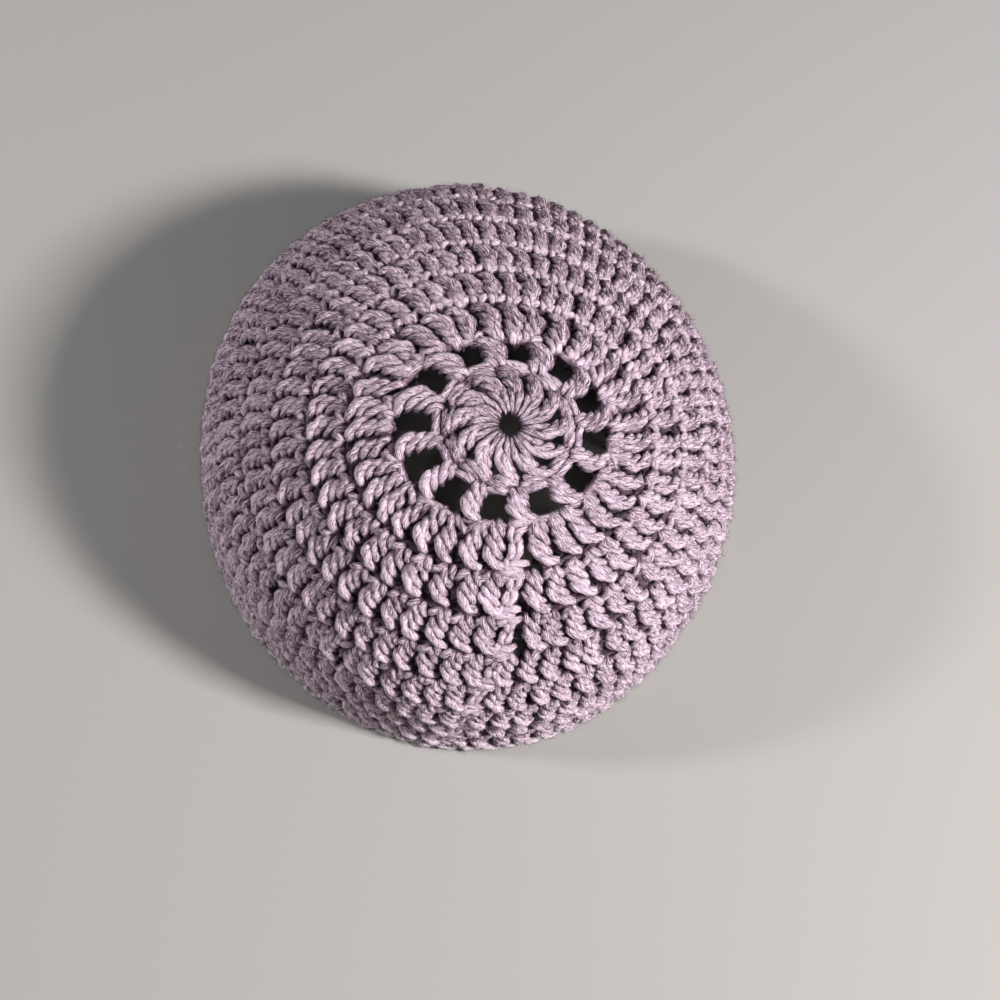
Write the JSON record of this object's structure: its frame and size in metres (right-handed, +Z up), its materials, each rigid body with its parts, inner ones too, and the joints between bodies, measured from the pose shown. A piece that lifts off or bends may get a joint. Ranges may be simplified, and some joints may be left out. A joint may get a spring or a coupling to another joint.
{
  "type": "crochet beanie",
  "caption": "Close-fitting crochet beanie worked from the crown in joined rounds, with a rosette, a round of eyelets, plain double-crochet rounds and a narrow hem edging.",
  "frame": {"origin": "middle of the head opening, on the surface that the hem rests on", "axes": "+Z up from the hem to the crown; the seam of the rounds is on the -Y side"},
  "size_m": [0.1758, 0.1844, 0.0952],
  "materials": {
    "crown_wool": "dusty mauve plied worsted wool, crocheted, slight sheen",
    "round_wool": "dusty mauve plied worsted wool, crocheted, slight sheen",
    "edging_wool": "the same wool in a narrow edging, a little paler where it is worn smooth"
  },
  "bodies": {
    "root": {"crown_rosette": "crown_wool", "eyelet_round": "crown_wool", "round_03": "round_wool", "round_04": "round_wool", "round_05": "round_wool", "round_06": "round_wool", "round_07": "round_wool", "round_08": "round_wool", "round_09": "round_wool", "round_10": "round_wool", "hem_edging": "edging_wool"}
  },
  "joints": []
}
